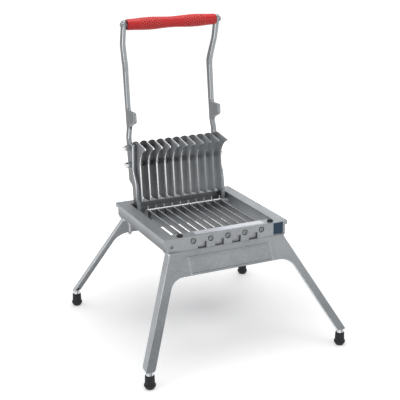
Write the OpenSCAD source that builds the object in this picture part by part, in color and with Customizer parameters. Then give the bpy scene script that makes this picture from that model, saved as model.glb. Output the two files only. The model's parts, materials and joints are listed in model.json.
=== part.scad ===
// Lettuce cutter: a hinged lever swings a rack of pusher plates down between fixed scalloped blades.
// The origin is on the table, midway between the four feet. The front of the cutter faces -Y.

/* [Tray] */
// Room between an arm and the side of the tray's opening
arm_room = 9.5; // [6:0.5:16]
// Depth of the tray from its front face to its rear face
tray_d = 358; // [340:2:400]
// Height of the rim's top above the table
rim_z = 340; // [300:5:380]
// How far the tray's middle lies behind the middle of the feet
tray_back = 15; // [0:1:25]
// Depth of the tray's walls below the rim's top
wall_h = 38; // [36:1:46]
// Thickness of the side walls
wall_t = 6; // [5:0.5:7]
// Thickness of the rim's top plate
rim_t = 6; // [5:0.5:6.5]
// Width of the rim along each side
side_rim = 34; // [31:1:38]
// Width of the rim along the front
front_rim = 34; // [32:1:40]
// Width of the rim along the rear
rear_rim = 31; // [28:1:36]
// Overhang of the lip along each side
lip_w = 6.5; // [4:0.5:7.5]
// Height of the side lips
lip_h = 11; // [8:0.5:14]
// Thickness of the front wall
front_t = 10; // [9:0.5:11]
// Thickness of the rear wall
rear_t = 8; // [7:0.5:10]
// Depth of the inner walls along the opening's sides
inner_h = 36; // [30:1:36]

/* [Blades] */
// Distance from one blade to the next
pitch = 25.4; // [22:0.2:25.6]
// Thickness of a blade
blade_t = 1.6; // [1.2:0.1:2]
// Height of a blade
blade_h = 19; // [14:0.5:20]
// How far the cutting edges lie below the rim
blade_drop = 7.5; // [7.2:0.1:9]
// Distance from one scallop of the edge to the next
scallop_pitch = 9; // [7:0.5:12]
// Depth of a scallop
scallop_depth = 2; // [1:0.25:3]
// Diameter of the rod that the blades hook over
rod_d = 6; // [5:0.5:7]
// How far the rod lies ahead of the hinge
rod_ahead = 24; // [22:0.5:26]
// Diameter of a tension screw
screw_d = 8; // [6:0.5:9]
// Diameter of the recess round a tension screw's head
recess_d = 16; // [14:0.5:18]

/* [Lever] */
// Angle at which the lever leans back against its stop
lean = 6.5; // [3:0.5:10]
// How far the hinge lies ahead of the rear rim's edge
hinge_ahead = 27; // [24:0.5:30]
// How far the hinge lies below the rim
hinge_drop = 31; // [29:0.5:33]
// Diameter of a hinge pin
pin_d = 14; // [10:0.5:16]
// Thickness of an arm across the cutter
arm_t = 11; // [9:0.5:12]
// Depth of the arm's upper bar, front to back
bar_depth = 21; // [17:0.5:24]
// Height of the stop lug on an arm
lug_h = 30; // [24:1:36]
// How far the arms step inwards above the pushers
arm_jog = 3.5; // [2:0.5:5]
// How far the arms spread outwards above their bend
arm_spread = 10.5; // [4:0.5:12]
// Distance from the hinge to the handle's axis, along the lever
handle_reach = 542; // [510:1:580]
// How far the handle's axis lies ahead of the hinge line
handle_ahead = 8; // [0:1:16]

/* [Pushers] */
// Thickness of a pusher plate
pusher_t = 5; // [4:0.5:6]
// Distance from the hinge line to the pushing edges
pusher_face = 18.5; // [16:0.5:20]
// Distance from the hinge to the pushers' lower ends
pusher_foot = 42; // [41:1:54]
// Distance from the hinge to the top of the pushers' heads
pusher_top = 215; // [208:1:222]
// How far the noses reach ahead of the hinge line
nose_reach = 74; // [64:1:76]
// Diameter of a tie rod
tie_d = 8; // [6:0.5:10]
// Diameter of the spacers on the tie rods
spacer_d = 15; // [13:0.5:18]

/* [Handle] */
// Diameter of the bar inside the grip
handle_bar_d = 16; // [14:0.5:18]
// Diameter of the grip at its waist
grip_d = 30.5; // [26:0.5:32]
// How much the grip swells on each side of its waist
grip_swell = 2.5; // [1:0.25:3]

/* [Legs and feet] */
// Distance from the middle to a foot, across the cutter
foot_x = 284; // [250:2:310]
// Distance from the middle to a foot, front to back
foot_y = 288; // [260:2:310]
// Height of a rubber foot
foot_h = 37; // [30:1:42]
// Diameter of a rubber foot at its flange
foot_d = 31; // [28:0.5:36]
// Diameter of the collar above a foot
collar_d = 20; // [17:0.5:23]
// Width of a front leg across its face
leg_w = 24.5; // [23:0.5:30]
// Depth of a front leg's outer flange
leg_depth = 22; // [19:1:26]
// Width of a rear leg across its face
rear_leg_w = 22; // [20.5:0.5:26]
// Depth of a rear leg's outer flange
rear_leg_depth = 16; // [15:1:22]
// How far a leg's outer flange splays outwards
leg_splay = 6; // [3:0.5:8]
// Thickness of the leg castings
leg_t = 5; // [4:0.5:7]
// Depth of the apron between the legs
apron_h = 66; // [60:1:80]
// Radius of the arch where the apron runs into a leg
arch_r = 46; // [30:1:60]
// Diameter of the rubber bumpers on the front rim
bumper_d = 17; // [15:0.5:20]
// Height of the bumpers above the rim
bumper_h = 6.5; // [5:0.5:8]

/* [Hidden] */
$fn = 48;
fit = 0.05;
slip = 0.3;
gap = 0.3;
big = 1000;

// Rack of pushers and its arms, which set the tray's width
blades = 10;
pairs = blades / 2;
pushers = blades + 1;
arm_in = (pushers - 1) / 2 * pitch + pusher_t / 2;
arm_out = arm_in + arm_t;
arm_mid = arm_in + arm_t / 2;

// Tray
open_x = arm_out + arm_room;
half_w = open_x + side_rim;
front_y = tray_back - tray_d / 2;
rear_y = tray_back + tray_d / 2;
wall_x = half_w - lip_w;
open_front = front_y + front_rim;
open_rear = rear_y - rear_rim;
wall_z = rim_z - wall_h;
plate_z = rim_z - rim_t;
corner_r = 5;
rail_x = (open_x + wall_x) / 2;
leg_bolt_d = 8;
front_bolt_y = front_y + 27;
rear_bolt_y = rear_y - 34;
leg_boss_d = 17;
leg_boss_h = 24;
rear_lip_h = 12;

// Hinge
hinge_y = open_rear - hinge_ahead;
hinge_z = rim_z - hinge_drop;
hinge_boss_d = pin_d + 14;
bush_t = 2;
bush_flange = 0.5;
pin_head_t = 4;
set_screw_d = 6;
set_screw_l = 37;

// Blades
blade_top = rim_z - blade_drop;
blade_low = blade_top - blade_h;
pull_z = blade_top - 6.5;
blade_tuck = 11;
blade_front = open_front - blade_tuck;
rod_r = rod_d / 2;
rod_y = hinge_y - rod_ahead;
rod_z = blade_top - 1.5;
rod_half = (blades - 1) / 2 * pitch + 3.7;
tab_t = 6;
tab_rise = 10;
tab_head_t = 3.2;
tab_set = 0.4;
yoke_wall = 6;
yoke_l = 15;
yoke_w = pitch + 2 * yoke_wall;
yoke_front = open_front - 18;
yoke_pin_d = 4;
yoke_pin_y = open_front - 7;
recess_depth = 5;
screw_end = yoke_pin_y - 3;
window_w = 25.5;
window_h = 17.5;
window_depth = 7.5;
window_z = wall_z + 9.75;
dimple_d = 10;
dimple_z = wall_z + 16.5;

// Blade anchor
anchor_half = rod_half + 2.5;
anchor_front = rod_y - 9;
anchor_top = rod_z - 1;
anchor_low = wall_z + 2;
anchor_bar = 19;
shelf_t = 8;
anchor_flange_h = 24;
anchor_screw_z = anchor_low + 12;

// Lever, measured along the lever from the hinge and backwards from the hinge line
arm_bar_in = arm_in - arm_jog;
arm_top_in = arm_bar_in + arm_spread;
arm_top_out = arm_top_in + arm_t;
stop_back = (open_rear - gap - hinge_y) * cos(lean) - hinge_drop * sin(lean);
eye_r = pin_d / 2 + bush_t + 7;
leg_front = 7.5;
pad_back = 46;
pad_low = 96;
pad_top = 210;
pad_waist = 8;
pad_brow = 4;
bar_back = 46;
bar_front = bar_back - bar_depth;
bend_low = 425;
bend_high = 490;
lug_face = pusher_face - 2.5;
bumper_y = front_y + 13;
bumper_stem = 3;
lug_mid = hinge_y - bumper_y - 2.5;
tie_back = 30;
tie_low = 146;
tie_high = pusher_top - 20;
nut_af = 14;
nut_h = 10;
tie_boss_d = 19;
tie_boss_h = 4;
nut_seat = arm_out + tie_boss_h;
pusher_chin = pusher_top - 34;
pusher_crown = 3;
pusher_heel = 36;
nose_drop = 16;

// Handle
ring_t = 1.5;
grip_half = arm_top_in - ring_t;
handle_screw_d = 8;
handle_head_d = 15;
handle_head_h = 5;
handle_screw_l = 25;

// Legs
collar_h = 5;
leg_low = foot_h + collar_h;
frame_top = 12;
leg_bolt_head = 6;
frame_flange_t = 8;
frame_half = wall_x - 4;
leg_top_half = frame_half - 5;
leg_heel_r = 3;
rear_set = 20;
panel_half = 123;
panel_top = 16;
panel_low = apron_h - 2;
panel_rib_w = 3.5;
panel_rib_h = 2.4;
panel_r = 5;
stud_d = 10;
stud_down = 22;
stud_up = 3;

function blade_name(i) = str("blade_", i < 10 ? "0" : "", i);
function pusher_name(i) = str("pusher_", i < 10 ? "0" : "", i);
function yoke_name(i) = str("blade_yoke_", i);
function blade_x(i) = (i - (blades + 1) / 2) * pitch;
function pusher_x(i) = (i - (pushers + 1) / 2) * pitch;
function yoke_x(i) = (i - (pairs + 1) / 2) * 2 * pitch;

// Points of an outline given as [x, y, radius] corners, with an arc at each rounded corner
function unit(v) = v / norm(v);
function turn(a) = (a + 540) % 360 - 180;
function flat(c) = [c[0], c[1]];
function arc(centre, r, from, sweep, steps) =
    [for (k = [0:steps]) centre + r * [cos(from + sweep * k / steps), sin(from + sweep * k / steps)]];
function corner(a, b, c, r) =
    let (u = unit(a - b))
    let (w = unit(c - b))
    let (half = acos(u * w) / 2)
    let (centre = b + unit(u + w) * r / sin(half))
    let (start = b + u * r / tan(half) - centre)
    let (stop = b + w * r / tan(half) - centre)
    let (from = atan2(start.y, start.x))
    let (sweep = turn(atan2(stop.y, stop.x) - from))
    arc(centre, r, from, sweep, max(2, ceil(abs(sweep) / 12)));
function outline(c) =
    let (n = len(c))
    [for (i = [0:n - 1])
        each c[i][2] == 0
            ? [flat(c[i])]
            : corner(flat(c[(i + n - 1) % n]), flat(c[i]), flat(c[(i + 1) % n]), c[i][2])];

// A plate cut to a side-view outline and centred on x
module side_plate(x, t) {
    translate([x - t / 2, 0, 0])
        rotate([90, 0, 90])
            linear_extrude(t)
                children();
}

// A cylinder along X, from one x to another
module x_rod(x0, x1, d) {
    translate([x0, 0, 0])
        rotate([0, 90, 0])
            cylinder(h = x1 - x0, d = d);
}

// A cylinder along Y, from one y to another
module y_rod(y0, y1, d) {
    translate([0, y0, 0])
        rotate([-90, 0, 0])
            cylinder(h = y1 - y0, d = d);
}

// A box between two corners
module box(low, high) {
    translate(low)
        cube(high - low);
}

// An upright block whose corners are rounded in plan
module plan_block(x0, y0, x1, y1, z0, z1, r) {
    translate([0, 0, z0])
        linear_extrude(z1 - z0)
            polygon(outline([[x0, y0, r], [x1, y0, r], [x1, y1, r], [x0, y1, r]]));
}

// Moves what is drawn about the hinge to the lever's place at rest
module on_lever() {
    translate([0, hinge_y, hinge_z])
        rotate([-lean, 0, 0])
            children();
}

module both_sides() {
    children();
    mirror([1, 0, 0])
        children();
}

module tray_rails() {
    plan_block(-wall_x, front_y, wall_x, rear_y, wall_z, rim_z, corner_r);
    plan_block(-half_w, front_y, half_w, rear_y, rim_z - lip_h, rim_z, corner_r);
}

module tray_hollow() {
    inner_x = wall_x - wall_t;
    box([-open_x, open_front, wall_z - 1], [open_x, open_rear, rim_z + 1]);
    box([-inner_x, front_y + front_t, wall_z - 1], [inner_x, rear_y - rear_t, plate_z]);
}

module hinge_seat() {
    translate([0, hinge_y, hinge_z])
        x_rod(arm_out + bush_flange + gap, wall_x - wall_t / 2, hinge_boss_d);
}

module leg_seats() {
    for (y = [front_bolt_y, rear_bolt_y])
        translate([rail_x, y, wall_z])
            cylinder(h = wall_h - rim_t / 2, d = leg_boss_d);
}

module front_cuts() {
    for (i = [1:pairs])
        translate([yoke_x(i), 0, pull_z]) {
            y_rod(front_y - 1, front_y + recess_depth, recess_d);
            y_rod(front_y, front_y + front_t + 1, screw_d + 2 * slip);
        }
    for (i = [1:pairs - 1])
        translate([yoke_x(i) + pitch - window_w / 2, front_y - 1, window_z - window_h / 2])
            cube([window_w, window_depth + 1, window_h]);
    for (x = [-rail_x, rail_x])
        translate([x, front_y, dimple_z])
            sphere(d = dimple_d);
}

module side_cuts() {
    translate([0, hinge_y, hinge_z])
        x_rod(arm_out, wall_x - wall_t - 2, pin_d + 2 * fit);
    translate([rail_x, hinge_y, 0])
        cylinder(h = hinge_z, d = set_screw_d + 2 * fit);
    for (y = [front_bolt_y, rear_bolt_y])
        translate([rail_x, y, wall_z - 1])
            cylinder(h = leg_boss_h + 1, d = leg_bolt_d + 2 * fit);
    translate([arm_mid, bumper_y, plate_z - bumper_stem - gap])
        cylinder(h = rim_t + bumper_stem + gap + 1, d = bumper_d / 2 + 2 * fit);
}

module anchor_cuts() {
    for (x = [-1, 0, 1] * 3 * pitch)
        translate([x, 0, anchor_screw_z])
            y_rod(rear_y - rear_t - 1, rear_y + 1, screw_d + 2 * slip);
}

module tray_frame() {
    color("silver")
        difference() {
            union() {
                difference() {
                    tray_rails();
                    tray_hollow();
                }
                both_sides() {
                    box(
                        [open_x, open_front - wall_t, rim_z - inner_h],
                        [open_x + wall_t, rear_y - rear_t / 2, plate_z + 1]
                    );
                    hinge_seat();
                    leg_seats();
                }
                box([-open_x, open_rear, rim_z - rear_lip_h], [open_x, open_rear + wall_t, plate_z + 1]);
            }
            front_cuts();
            both_sides()
                side_cuts();
            anchor_cuts();
        }
}

// Outline of a leg frame in its own plane, across and down from the tray's lower edge
module frame_outline(w, tall, slope) {
    wide = w / 2 * sqrt(1 + slope * slope);
    end_r = w * 0.4;
    half = [
        [foot_x + wide - (tall + frame_top) * slope, -frame_top, 0],
        [foot_x + wide, tall, leg_heel_r],
        [foot_x - wide, tall, end_r],
        [foot_x - wide - (tall - apron_h) * slope, apron_h, arch_r]
    ];
    last = len(half) - 1;
    other = [for (i = [0:last]) [-half[last - i].x, half[last - i].y, half[last - i].z]];
    polygon(outline(concat(half, other)));
}

module panel_shape(inset) {
    x = panel_half - inset;
    top = panel_top + inset;
    low = panel_low - inset;
    r = panel_r - inset;
    polygon(outline([[-x, top, r], [x, top, r], [x, low, r], [-x, low, r]]));
}

// The raised border round the plain panel in the middle of an apron
module panel_border() {
    difference() {
        panel_shape(0);
        panel_shape(panel_rib_w);
    }
}

// The outer flange of the right leg: a plate that splays outwards and ends in a rounded heel
module leg_flange(w, depth, tall, slope) {
    stretch = sqrt(1 + slope * slope);
    deep = norm([leg_splay, depth]);
    long = (tall + frame_top) * stretch;
    translate([foot_x + w / 2 * stretch, tall, 0])
        rotate([90, 0, -atan(slope)])
            rotate([0, 0, -atan2(leg_splay, depth)])
                side_plate(-leg_t / 2, leg_t)
                    polygon(outline([[0, leg_heel_r, 0], [deep, deep * 0.7, 8], [deep, long, 0], [0, long, 0]]));
}

// Puts what is drawn in a leg frame's plane at the tray's edge, leaning out towards -Y
module in_frame_plane(face, tilt) {
    translate([0, -face, wall_z])
        rotate([-90 - tilt, 0, 0])
            children();
}

// A leg frame that leans out towards -Y from a face under the tray, with a flange below the tray's wall
module leg_frame(face, wall, bolt, w, depth) {
    tilt = atan2(foot_y + depth / 2 - face, wall_z - leg_low);
    tall = (wall_z - leg_low - depth / 2 * sin(tilt)) / cos(tilt);
    slope = (foot_x + w / 2 - leg_top_half) / tall;
    seat_z = wall_z - frame_flange_t;
    difference() {
        union() {
            difference() {
                union() {
                    in_frame_plane(face, tilt) {
                        linear_extrude(leg_t)
                            frame_outline(w, tall, slope);
                        both_sides()
                            leg_flange(w, depth, tall, slope);
                        translate([0, 0, -panel_rib_h])
                            linear_extrude(panel_rib_h + 1)
                                panel_border();
                    }
                    intersection() {
                        in_frame_plane(face, tilt)
                            linear_extrude(depth)
                                frame_outline(w, tall, slope);
                        both_sides()
                            translate([foot_x, -foot_y, 0])
                                cylinder(h = leg_low + stud_up + leg_t, d = collar_d);
                    }
                    box([-frame_half, -wall, seat_z], [frame_half, -face + 12, wall_z]);
                    both_sides()
                        box([rail_x - 10, -wall, seat_z], [frame_half, -bolt + 10, wall_z]);
                }
                box([-big, -big, wall_z], [big, big, big]);
                box([-big, -big, -big], [big, big, leg_low]);
            }
            both_sides()
                translate([foot_x, -foot_y, foot_h])
                    cylinder(h = wall_z - tall * cos(tilt) - foot_h + 1, d = collar_d);
        }
        both_sides() {
            translate([foot_x, -foot_y, 0])
                cylinder(h = leg_low + stud_up + fit, d = stud_d + 2 * fit);
            translate([rail_x, -bolt, 0])
                cylinder(h = big, d = leg_bolt_d + 2 * slip);
        }
    }
}

module front_leg_frame() {
    color("silver")
        leg_frame(-front_y, -front_y, -front_bolt_y, leg_w, leg_depth);
}

module rear_leg_frame() {
    color("silver")
        mirror([0, 1, 0])
            leg_frame(rear_y - rear_set, rear_y, rear_bolt_y, rear_leg_w, rear_leg_depth);
}

module leg_bolts() {
    color("dimgray")
        for (y = [front_bolt_y, rear_bolt_y])
            both_sides()
                translate([rail_x, y, wall_z - frame_flange_t]) {
                    cylinder(h = frame_flange_t + leg_boss_h - 2, d = leg_bolt_d);
                    translate([0, 0, -leg_bolt_head])
                        cylinder(h = leg_bolt_head, d = leg_bolt_d * 1.8, $fn = 6);
                }
}

module rubber_foot() {
    neck_r = foot_d * 0.4;
    difference() {
        rotate_extrude()
            polygon(outline([
                [0, 0, 0],
                [foot_d * 0.33, 0, 2],
                [foot_d / 2, foot_h * 0.22, 1.5],
                [foot_d / 2, foot_h * 0.33, 1],
                [neck_r + 0.8, foot_h * 0.42, 1],
                [neck_r, foot_h, 1.5],
                [0, foot_h, 0]
            ]));
        translate([0, 0, foot_h - stud_down - fit])
            cylinder(h = stud_down + 1, d = stud_d + 2 * fit);
    }
}

module foot_at(x, y) {
    color("#202223")
        translate([x, y, 0])
            rubber_foot();
}

module foot_studs() {
    color("gray")
        for (y = [-foot_y, foot_y])
            both_sides()
                translate([foot_x, y, foot_h - stud_down])
                    cylinder(h = stud_down + collar_h + stud_up, d = stud_d);
}

module bumper(x) {
    stem_r = bumper_d / 4;
    color("#202223")
        translate([x, bumper_y, rim_z])
            rotate_extrude()
                polygon(outline([
                    [0, -rim_t - bumper_stem, 0],
                    [stem_r, -rim_t - bumper_stem, 1],
                    [stem_r, 0, 0],
                    [bumper_d / 2, 0, 0],
                    [bumper_d / 2, bumper_h, bumper_h * 0.85],
                    [0, bumper_h, 0]
                ]));
}

// Bar across the tray that the blades' rear ends pass through, on a shelf from the rear wall
module blade_anchor() {
    rear = rear_y - rear_t;
    low = [-anchor_half, anchor_front, anchor_low];
    flange_top = anchor_low + anchor_flange_h;
    color("darkgray")
        difference() {
            union() {
                box(low, [anchor_half, anchor_front + anchor_bar, anchor_top]);
                box(low, [anchor_half, rear, anchor_low + shelf_t]);
                box([-anchor_half, rear - shelf_t, anchor_low], [anchor_half, rear, flange_top]);
            }
            translate([0, rod_y, rod_z])
                x_rod(-anchor_half - 1, anchor_half + 1, rod_d + 2 * fit);
            for (i = [1:blades])
                box(
                    [blade_x(i) - blade_t / 2 - slip, anchor_front - 1, blade_low - gap],
                    [blade_x(i) + blade_t / 2 + slip, anchor_front + anchor_bar + 1, anchor_top + 1]
                );
            for (x = [-1, 0, 1] * 3 * pitch)
                translate([x, 0, anchor_screw_z])
                    y_rod(rear - shelf_t - 1, rear + 1, screw_d + 2 * fit);
        }
}

module anchor_screws() {
    color("gray")
        for (x = [-1, 0, 1] * 3 * pitch)
            translate([x, 0, anchor_screw_z]) {
                y_rod(rear_y - rear_t - shelf_t, rear_y, screw_d);
                translate([0, rear_y, 0])
                    rotate([-90, 0, 0])
                        cylinder(h = screw_d * 0.65, d = screw_d * 1.8, $fn = 6);
            }
}

module blade_rod() {
    color("gainsboro")
        translate([0, rod_y, rod_z])
            x_rod(-rod_half, rod_half, rod_d);
}

// A blade with a scalloped upper edge, a pinned front end and a rear tab that hooks behind the rod by its head
module blade(i) {
    tab = rod_y + rod_r + fit;
    first = open_front + scallop_pitch;
    count = floor((rod_y - 2 * rod_d - first) / scallop_pitch);
    chord = scallop_pitch - 0.4;
    r = (chord * chord / 4 + scallop_depth * scallop_depth) / (2 * scallop_depth);
    color("gainsboro")
        union() {
            side_plate(blade_x(i), blade_t)
                difference() {
                    polygon(outline([
                        [blade_front, blade_low, 2],
                        [tab + tab_t, blade_low, 3],
                        [tab + tab_t, rod_z + tab_rise, 2.5],
                        [tab, rod_z + tab_rise, 1.5],
                        [tab, blade_top, 0],
                        [blade_front, blade_top, 2]
                    ]));
                    for (k = [0:count])
                        translate([first + k * scallop_pitch, blade_top - scallop_depth + r])
                            circle(r);
                    translate([rod_y, rod_z])
                        circle(rod_r + fit);
                    translate([rod_y - rod_r - fit, rod_z])
                        square([rod_d + 2 * fit, rod_d]);
                    translate([yoke_pin_y, pull_z])
                        circle(yoke_pin_d / 2 + fit);
                }
            side_plate(blade_x(i), tab_head_t)
                polygon(outline([
                    [tab + tab_set, anchor_top + 2 * gap, 1],
                    [tab + tab_t - tab_set, anchor_top + 2 * gap, 1],
                    [tab + tab_t - tab_set, rod_z + tab_rise - tab_set, 2],
                    [tab + tab_set, rod_z + tab_rise - tab_set, 1]
                ]));
        }
}

// Block that a tension screw draws forwards, with two blades pinned in its slots
module blade_yoke(i) {
    color("darkgray")
        translate([yoke_x(i), 0, 0])
            difference() {
                box(
                    [-yoke_w / 2, yoke_front, blade_low - 2],
                    [yoke_w / 2, yoke_front + yoke_l, blade_top + 0.5]
                );
                for (x = [-1, 1] * pitch / 2)
                    box(
                        [x - blade_t / 2 - fit, blade_front - gap, blade_low - 3],
                        [x + blade_t / 2 + fit, yoke_front + yoke_l + 1, blade_top + 1]
                    );
                translate([0, yoke_pin_y, pull_z])
                    x_rod(-yoke_w, yoke_w, yoke_pin_d + 2 * fit);
                translate([0, 0, pull_z])
                    y_rod(yoke_front - 1, screw_end + gap, screw_d + 2 * fit);
            }
}

module yoke_pins() {
    color("gray")
        for (i = [1:pairs])
            translate([yoke_x(i), yoke_pin_y, pull_z])
                x_rod(-yoke_w / 2, yoke_w / 2, yoke_pin_d);
}

module tension_screws() {
    head_d = recess_d - 5;
    seat = front_y + recess_depth;
    color("gray")
        for (i = [1:pairs])
            translate([yoke_x(i), 0, pull_z])
                difference() {
                    union() {
                        y_rod(front_y + 0.5, seat, head_d);
                        y_rod(seat - 1, screw_end, screw_d);
                    }
                    translate([0, front_y, 0])
                        rotate([-90, 0, 0])
                            cylinder(h = recess_depth / 2, d = head_d * 0.6, $fn = 6);
                }
}

// Hinge pin on the right, pushed outwards through the arm into the tray
module hinge_pin() {
    color("gray")
        translate([0, hinge_y, hinge_z]) {
            x_rod(arm_in - gap - pin_head_t, wall_x - wall_t - 2.5, pin_d);
            x_rod(arm_in - gap - pin_head_t, arm_in - gap, pin_d + 8);
        }
}

module pin_screws() {
    seat = hinge_z - hinge_boss_d / 2;
    color("dimgray")
        both_sides()
            translate([rail_x, hinge_y, seat]) {
                translate([0, 0, -set_screw_l])
                    cylinder(h = set_screw_l + hinge_boss_d / 2 - pin_d / 2 - fit, d = set_screw_d);
                for (z = [-set_screw_d, -set_screw_l])
                    translate([0, 0, z])
                        cylinder(h = set_screw_d, d = set_screw_d * 1.8, $fn = 6);
            }
}

module hinge_bush() {
    bush_d = pin_d + 2 * bush_t;
    color("goldenrod")
        translate([0, hinge_y, hinge_z])
            difference() {
                union() {
                    x_rod(arm_in, arm_out, bush_d);
                    x_rod(arm_out, arm_out + bush_flange, bush_d + 6);
                }
                x_rod(arm_in - 1, arm_out + 2, pin_d + 2 * fit);
            }
}

// Side view of an arm above its eye: lower leg, pad beside the pushers, bar with its stop lug, and top
module arm_side() {
    top = handle_reach + bar_depth * 0.6;
    lug_low = lug_mid - lug_h / 2;
    lug_high = lug_mid + lug_h / 2;
    polygon(outline([
        [-leg_front, 0, 0],
        [-leg_front, pad_low, 14],
        [pad_waist, pad_low + 34, 24],
        [-pad_brow, pad_top - 5, 5],
        [bar_front, pad_top + 2, 8],
        [bar_front, lug_low - lug_h / 2, 14],
        [-lug_face, lug_low, 6],
        [-lug_face, lug_high, 8],
        [bar_front, lug_high + 2, 8],
        [bar_front, bend_low, 80],
        [-handle_ahead - bar_depth / 2, top, 9],
        [-handle_ahead + bar_depth / 2, top, 9],
        [bar_back, bend_low + 6, 80],
        [pad_back, pad_low, 12],
        [stop_back, pad_low - 9, 8],
        [stop_back, eye_r * 1.4, 10],
        [eye_r * 0.9, 0, 0]
    ]));
}

// Front view of an arm, which spreads outwards above its bend
module arm_front_view() {
    low = -2 * eye_r;
    high = handle_reach + 2 * bar_depth;
    jog_low = pusher_top + 10;
    jog_high = jog_low + 24;
    polygon(outline([
        [arm_in, low, 0],
        [arm_out, low, 0],
        [arm_out, jog_low, 40],
        [arm_bar_in + arm_t, jog_high, 40],
        [arm_bar_in + arm_t, bend_low, 60],
        [arm_top_out, bend_high, 60],
        [arm_top_out, high, 0],
        [arm_top_in, high, 0],
        [arm_top_in, bend_high, 60],
        [arm_bar_in, bend_low, 60],
        [arm_bar_in, jog_high, 40],
        [arm_in, jog_low, 40]
    ]));
}

module arm() {
    color("silver")
        on_lever()
            difference() {
                union() {
                    intersection() {
                        translate([arm_in - arm_t, 0, 0])
                            rotate([90, 0, 90])
                                linear_extrude(arm_spread + 3 * arm_t)
                                    arm_side();
                        translate([0, 2 * pad_back, 0])
                            rotate([90, 0, 0])
                                linear_extrude(4 * pad_back)
                                    arm_front_view();
                    }
                    x_rod(arm_in, arm_out, 2 * eye_r);
                    for (up = [tie_low, tie_high])
                        translate([0, tie_back, up])
                            x_rod(arm_out - 1, arm_out + tie_boss_h, tie_boss_d);
                }
                x_rod(arm_in - 1, arm_out + 1, pin_d + 2 * bush_t + 2 * fit);
                for (up = [tie_low, tie_high])
                    translate([0, tie_back, up])
                        x_rod(arm_in - 1, arm_out + tie_boss_h + 1, tie_d + 2 * slip);
                translate([0, -handle_ahead, handle_reach])
                    x_rod(arm_top_in - 1, arm_top_out + 1, handle_screw_d + 2 * slip);
            }
}

// A pusher plate: straight pushing edge, receding chin, nose and domed head
module pusher(i) {
    color("silver")
        on_lever()
            side_plate(pusher_x(i), pusher_t)
                difference() {
                    polygon(outline([
                        [-pusher_face, pusher_foot, 8],
                        [-pusher_face, pusher_chin, 55],
                        [-nose_reach, pusher_top - nose_drop, 3],
                        [pusher_crown, pusher_top + 4, 60],
                        [pad_back, pusher_top - 14, 16],
                        [pad_back, pad_low, 24],
                        [pusher_heel, pusher_foot, 10]
                    ]));
                    for (up = [tie_low, tie_high])
                        translate([tie_back, up])
                            circle(tie_d / 2 + slip);
                }
}

module tie_rod(up) {
    color("gray")
        on_lever()
            translate([0, tie_back, up])
                x_rod(-nut_seat - nut_h, nut_seat + nut_h, tie_d);
}

module spacers(up) {
    color("darkgray")
        on_lever()
            translate([0, tie_back, up])
                for (i = [1:pushers - 1])
                    difference() {
                        x_rod(pusher_x(i) + pusher_t / 2, pusher_x(i + 1) - pusher_t / 2, spacer_d);
                        x_rod(pusher_x(i), pusher_x(i + 1), tie_d + 2 * slip);
                    }
}

module cap_nuts() {
    color("gainsboro")
        on_lever()
            for (up = [tie_low, tie_high])
                both_sides()
                    translate([nut_seat, tie_back, up])
                        rotate([0, 90, 0])
                            difference() {
                                union() {
                                    cylinder(h = nut_h, d = nut_af / cos(30), $fn = 6);
                                    translate([0, 0, nut_h - 1])
                                        sphere(d = nut_af * 0.9);
                                }
                                translate([0, 0, -1])
                                    cylinder(h = nut_h + 1 + gap, d = tie_d + 2 * fit);
                            }
}

module at_handle() {
    on_lever()
        translate([0, -handle_ahead, handle_reach])
            children();
}

module handle_bar() {
    color("gray")
        at_handle()
            difference() {
                x_rod(-arm_top_in, arm_top_in, handle_bar_d);
                both_sides()
                    x_rod(arm_top_in - handle_screw_l, arm_top_in + 1, handle_screw_d + 2 * fit);
            }
}

// A moulded grip that swells on each side of its waist
module handle_grip() {
    steps = 32;
    inner = handle_bar_d / 2 + fit;
    swell = [for (k = [-steps:steps]) [
        grip_d / 2 + grip_swell * pow(sin(180 * k / steps), 2),
        grip_half * k / steps
    ]];
    color("crimson")
        at_handle()
            rotate([0, 90, 0])
                rotate_extrude()
                    polygon(concat([[inner, -grip_half]], swell, [[inner, grip_half]]));
}

module grip_rings() {
    color("darkred")
        at_handle()
            both_sides()
                difference() {
                    x_rod(grip_half, arm_top_in, grip_d - 2);
                    x_rod(grip_half - 1, arm_top_in + 1, handle_bar_d + 2 * fit);
                }
}

module handle_screws() {
    color("gray")
        at_handle()
            both_sides() {
                x_rod(arm_top_in - handle_screw_l + gap, arm_top_out, handle_screw_d);
                translate([arm_top_out, 0, 0])
                    rotate([0, 90, 0])
                        cylinder(h = handle_head_h, d = handle_head_d, $fn = 6);
            }
}

tray_frame();
front_leg_frame();
rear_leg_frame();
leg_bolts();
foot_at(-foot_x, -foot_y);  // foot_front_left
foot_at(foot_x, -foot_y);  // foot_front_right
foot_at(-foot_x, foot_y);  // foot_rear_left
foot_at(foot_x, foot_y);  // foot_rear_right
foot_studs();
bumper(-arm_mid);  // bumper_left
bumper(arm_mid);  // bumper_right
blade_anchor();
anchor_screws();
blade_rod();
for (i = [1:blades])
    blade(i);
for (i = [1:pairs])
    blade_yoke(i);
yoke_pins();
tension_screws();
mirror([1, 0, 0]) hinge_pin();  // hinge_pin_left
hinge_pin();  // hinge_pin_right
pin_screws();
mirror([1, 0, 0]) arm();  // arm_left
arm();  // arm_right
mirror([1, 0, 0]) hinge_bush();  // hinge_bush_left
hinge_bush();  // hinge_bush_right
for (i = [1:pushers])
    pusher(i);
tie_rod(tie_high);  // upper_tie_rod
tie_rod(tie_low);  // lower_tie_rod
spacers(tie_high);  // upper_spacers
spacers(tie_low);  // lower_spacers
cap_nuts();
handle_bar();
handle_grip();
grip_rings();
handle_screws();
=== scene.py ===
import json
import math

import bmesh
import bpy
from mathutils import Matrix, Vector
from mathutils.bvhtree import BVHTree
from mathutils.kdtree import KDTree


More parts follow.
